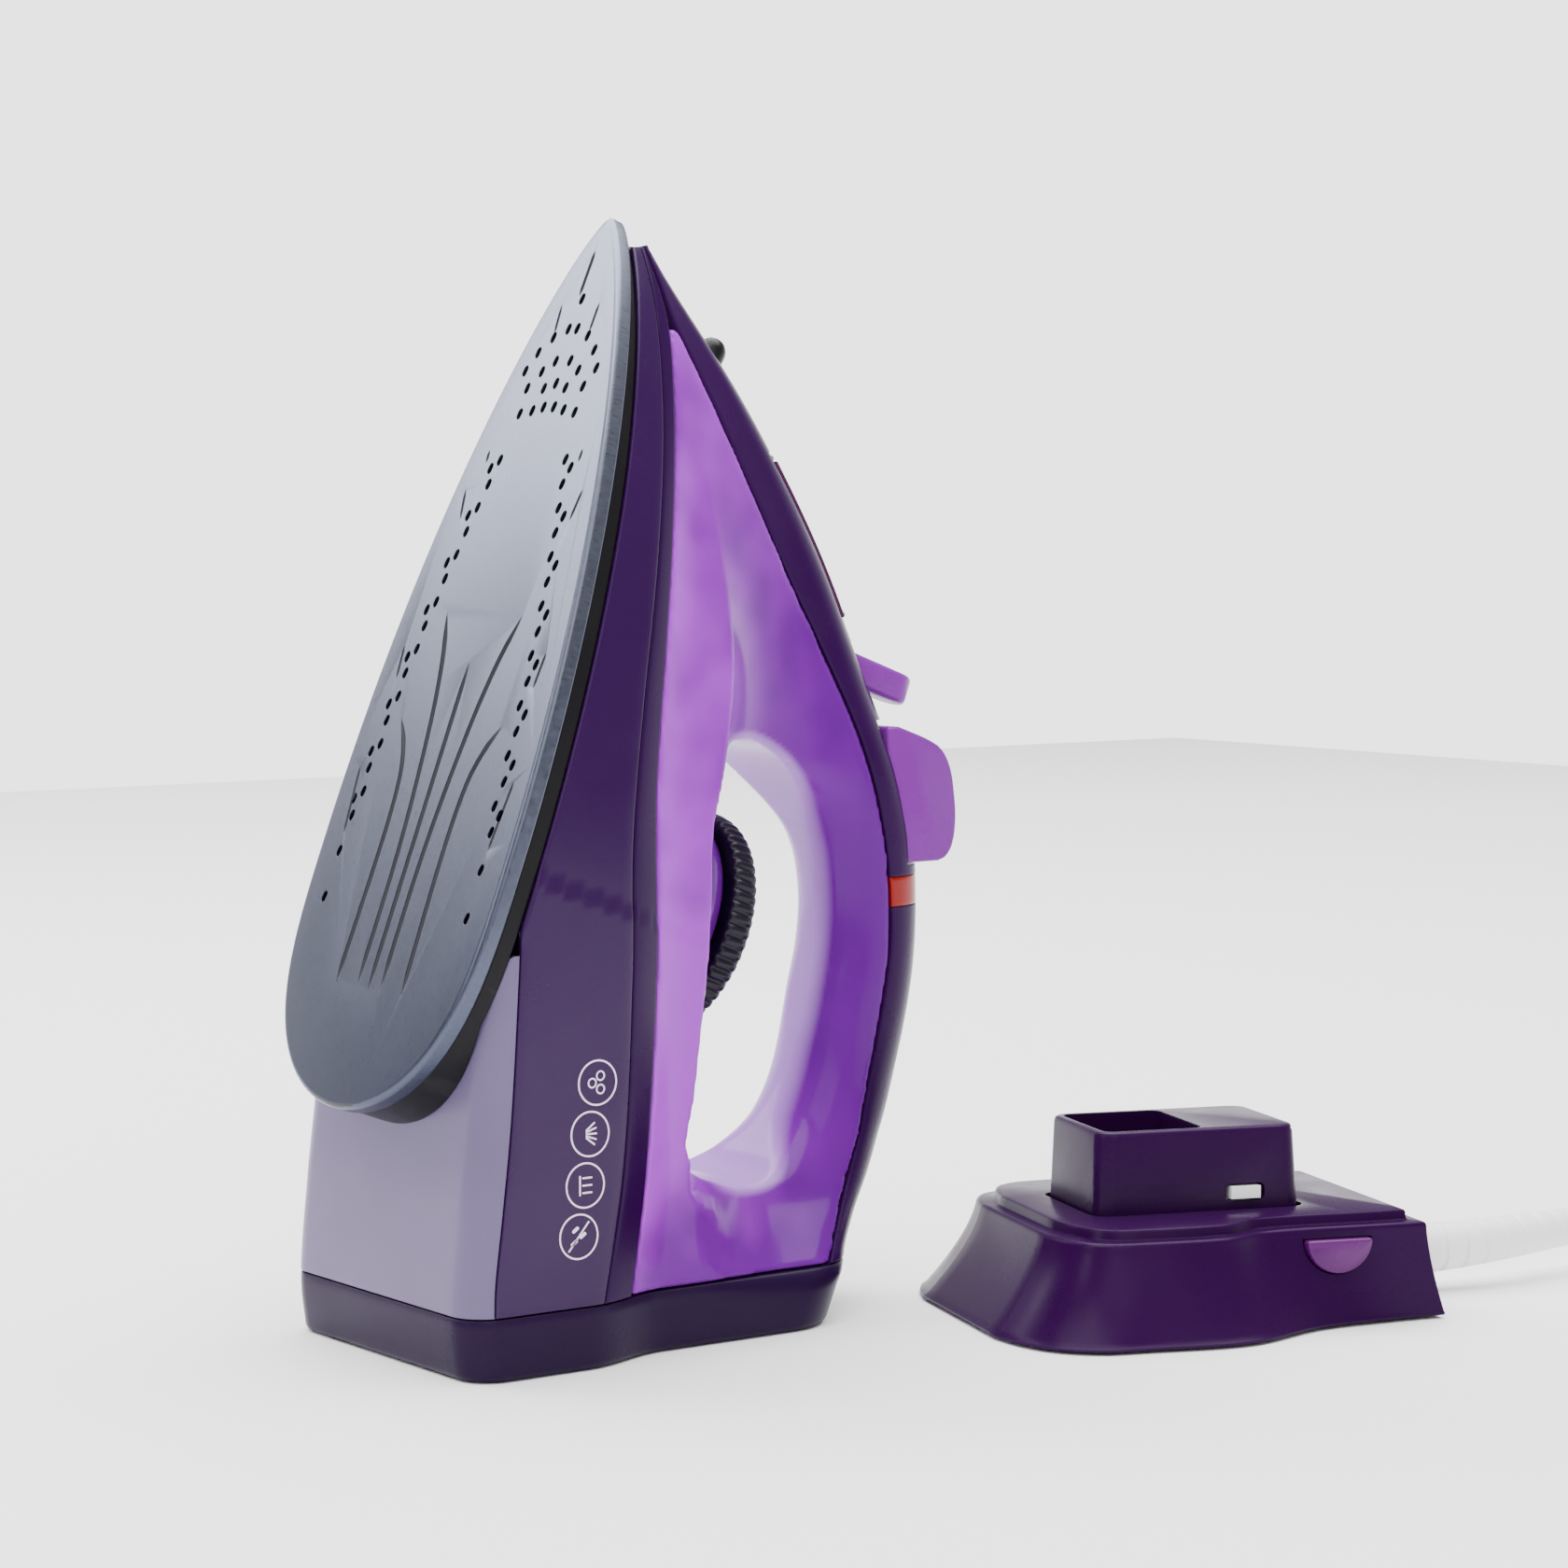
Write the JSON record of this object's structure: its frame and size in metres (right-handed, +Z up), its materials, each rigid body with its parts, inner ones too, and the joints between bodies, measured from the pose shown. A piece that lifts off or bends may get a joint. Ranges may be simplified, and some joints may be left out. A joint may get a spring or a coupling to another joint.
{
  "type": "clothes iron",
  "caption": "Cordless steam iron standing on its heel, beside its separate power base with cord and plug",
  "frame": {"origin": "on the table, under the heel of the standing iron, in its plane of symmetry", "axes": "+Z up towards the iron's nose, +X from the soleplate side to the handle side, +Y across the iron"},
  "size_m": [0.4903, 0.2635, 0.2947],
  "materials": {
    "sole_metal": "satin",
    "cast_alloy": "as cast",
    "element_steel": "dull",
    "black_plastic": "satin",
    "dark_purple_plastic": "gloss",
    "lilac_grey_plastic": "satin",
    "indigo_plastic": "gloss",
    "translucent_purple": "translucent gloss",
    "deep_purple_plastic": "gloss",
    "dark_indigo_plastic": "gloss",
    "plum_plastic": "gloss",
    "light_purple_plastic": "satin",
    "pale_plastic": "satin",
    "red_lens": "clear gloss",
    "ceramic": "matte",
    "wire_sleeve": "matte",
    "brass_contacts": "bright",
    "screw_steel": "bright",
    "dock_purple_plastic": "gloss",
    "magenta_plastic": "gloss",
    "white_plastic": "satin",
    "white_rubber": "satin",
    "foot_rubber": "matte"
  },
  "bodies": {
    "iron": {"soleplate": "sole_metal", "heater_casting": "cast_alloy", "heating_element": "element_steel", "steam_chamber_cover": "cast_alloy", "heat_skirt": "black_plastic", "lower_body": "dark_purple_plastic", "rear_panel": "lilac_grey_plastic", "trim_strip": "indigo_plastic", "tank_shell": "translucent_purple", "handle_core": "deep_purple_plastic", "top_cover": "dark_indigo_plastic", "heel_band": "dark_purple_plastic", "socket_cup": "black_plastic", "heel_contacts": "brass_contacts", "heel_screws": "screw_steel", "spray_nozzle": "black_plastic", "filler_neck": "black_plastic", "lid_pin": "screw_steel", "spray_pump": "pale_plastic", "steam_pump": "pale_plastic", "indicator_lens": "red_lens", "indicator_lamp": "pale_plastic", "dial_pedestal": "deep_purple_plastic", "thermostat": "ceramic", "thermal_fuse": "screw_steel", "terminal_block": "ceramic", "inner_wires": "wire_sleeve"},
    "lid": {"filler_lid": "plum_plastic"},
    "steam_lever": {"steam_lever": "light_purple_plastic", "dosing_rod": "screw_steel"},
    "spray_button": {"spray_button": "light_purple_plastic"},
    "steam_button": {"steam_button": "light_purple_plastic"},
    "dial": {"dial": "black_plastic", "dial_shaft": "screw_steel"},
    "dock": {"dock_shell": "dock_purple_plastic", "dock_tower": "dock_purple_plastic", "dock_base_plate": "black_plastic", "dock_feet": "foot_rubber", "dock_contacts": "brass_contacts", "dock_terminals": "ceramic", "dock_screws": "screw_steel", "strain_relief": "white_rubber", "cord": "white_rubber", "cord_coil": "white_rubber", "cord_tie": "black_plastic", "plug_body": "white_plastic", "plug_pins": "brass_contacts"},
    "dock_button": {"dock_button": "magenta_plastic"},
    "dock_latch": {"dock_latch": "white_plastic"}
  },
  "joints": [
    {"name": "lid_hinge", "type": "hinge", "parent": "iron", "child": "lid", "pos_m": [0.0633, 0, 0.2314], "axis": [0, -1, 0], "range_deg": [0, 95]},
    {"name": "steam_lever_turn", "type": "hinge", "parent": "iron", "child": "steam_lever", "pos_m": [0.08886, 0, 0.16575], "axis": [0.9369, 0, -0.3496], "range_deg": [-14, 14]},
    {"name": "spray_button_press", "type": "slide", "parent": "iron", "child": "spray_button", "axis": [-0.9369, 0, 0.3496], "range_m": [0, 0.005], "stiffness_N_per_m": 800, "springref_m": -0.0005},
    {"name": "steam_button_press", "type": "slide", "parent": "iron", "child": "steam_button", "axis": [-0.9369, 0, 0.3496], "range_m": [0, 0.005], "stiffness_N_per_m": 800, "springref_m": -0.0005},
    {"name": "dial_turn", "type": "hinge", "parent": "iron", "child": "dial", "pos_m": [0.04045, 0, 0.10516], "axis": [0.9369, 0, -0.3496], "range_deg": [0, 280]},
    {"name": "dock_lift", "type": "slide", "parent": "iron", "child": "dock", "axis": [0, 0, 1], "range_m": [0, 0.06]},
    {"name": "dock_button_press", "type": "slide", "parent": "dock", "child": "dock_button", "axis": [0.3173, 0.9483, 0], "range_m": [0, 0.003], "stiffness_N_per_m": 600, "springref_m": -0.0005},
    {"name": "dock_latch_slide", "type": "slide", "parent": "dock", "child": "dock_latch", "axis": [0.3173, 0.9483, 0], "range_m": [0, 0.003]}
  ],
  "couplings": [
    {"joint": "dock_latch_slide", "follows": "dock_button_press", "ratio": 1}
  ]
}
